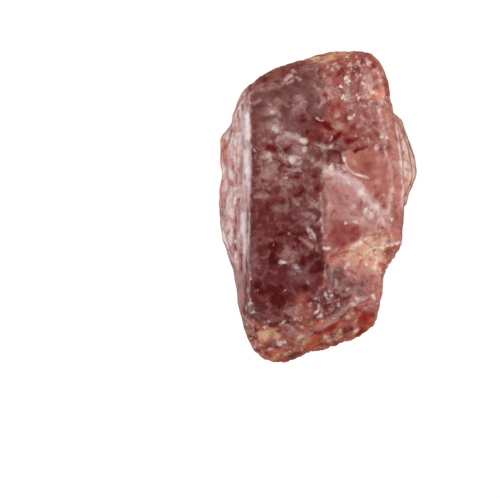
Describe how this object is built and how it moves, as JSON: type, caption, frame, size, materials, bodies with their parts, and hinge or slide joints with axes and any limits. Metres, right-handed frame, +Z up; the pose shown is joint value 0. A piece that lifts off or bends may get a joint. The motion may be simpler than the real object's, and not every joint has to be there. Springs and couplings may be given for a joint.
{
  "type": "spinel crystal",
  "caption": "Rough, water-worn spinel crystal in red and mauve, grown in layers and chipped, lying on its flat broken back.",
  "frame": {"origin": "on the flat face that the crystal rests on, under the middle of its box", "axes": "+Y along the crystal, towards its broad end; +X across it, towards the side with the small back lump; +Z up, out of the front face"},
  "size_m": [0.0072, 0.0112, 0.0054],
  "materials": {
    "spinel": "worn glassy crystal, red to mauve, cloudy, with pale edges"
  },
  "bodies": {
    "root": {"spinel_crystal": "spinel"}
  },
  "joints": []
}
